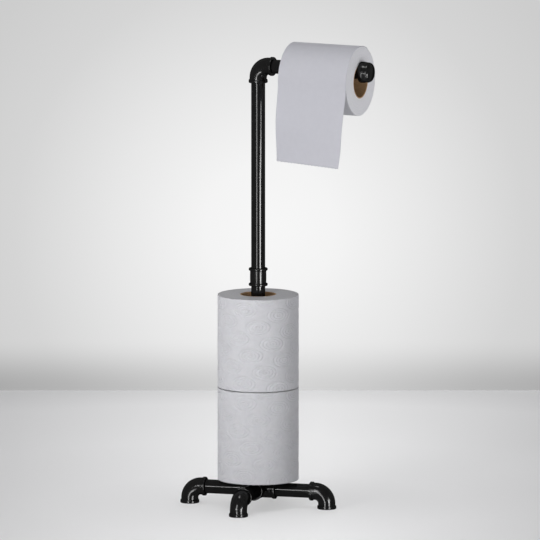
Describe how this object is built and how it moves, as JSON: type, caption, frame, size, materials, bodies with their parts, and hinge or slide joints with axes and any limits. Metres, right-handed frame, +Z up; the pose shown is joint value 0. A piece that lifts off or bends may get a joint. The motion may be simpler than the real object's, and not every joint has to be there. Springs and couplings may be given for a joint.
{
  "type": "freestanding toilet roll holder",
  "caption": "Freestanding toilet roll holder of threaded black pipe: a cross-shaped base, a post that stores spare rolls and a swivelling arm that carries the roll in use.",
  "frame": {"origin": "on the floor, under the axis of the post, at the centre of the circle through the foot ports", "axes": "+Z up along the post, +X along the arm towards its cap, -Y the side that the sheet hangs on, towards the user"},
  "size_m": [0.2513, 0.1956, 0.5757],
  "materials": {
    "black_pipe": "gloss",
    "black_fitting": "gloss",
    "core_card": "matte",
    "tissue": "matte"
  },
  "bodies": {
    "stand": {"base_hub": "black_fitting", "leg_pipe_right": "black_pipe", "leg_pipe_left": "black_pipe", "leg_pipe_front": "black_pipe", "leg_pipe_rear": "black_pipe", "foot_elbow_right": "black_fitting", "foot_elbow_left": "black_fitting", "foot_elbow_front": "black_fitting", "foot_elbow_rear": "black_fitting", "lower_post": "black_pipe", "post_coupling": "black_fitting"},
    "arm": {"upper_post": "black_pipe", "top_elbow": "black_fitting", "arm_pipe": "black_pipe", "end_cap": "black_fitting"},
    "paper_sheet": {"hanging_sheet": "tissue"},
    "top_roll": {"top_roll_core": "core_card", "top_roll_paper": "tissue"},
    "lower_spare": {"lower_spare_core": "core_card", "lower_spare_paper": "tissue"},
    "upper_spare": {"upper_spare_core": "core_card", "upper_spare_paper": "tissue"}
  },
  "joints": [
    {"name": "post_swivel", "type": "hinge", "parent": "stand", "child": "arm", "pos_m": [0, 0, 0.29425], "axis": [0, 0, 1], "range_deg": [-180, 180]},
    {"name": "top_roll_slide", "type": "slide", "parent": "arm", "child": "paper_sheet", "axis": [1, 0, 0], "range_m": [-0.025, 0]},
    {"name": "top_roll_spin", "type": "hinge", "parent": "paper_sheet", "child": "top_roll", "pos_m": [0.0921, 0, 0.53235], "axis": [1, 0, 0], "continuous": true},
    {"name": "lower_spare_lift", "type": "slide", "parent": "stand", "child": "lower_spare", "axis": [0, 0, 1], "range_m": [0, 0.08]},
    {"name": "upper_spare_lift", "type": "slide", "parent": "lower_spare", "child": "upper_spare", "axis": [0, 0, 1], "range_m": [0, 0.08]}
  ]
}
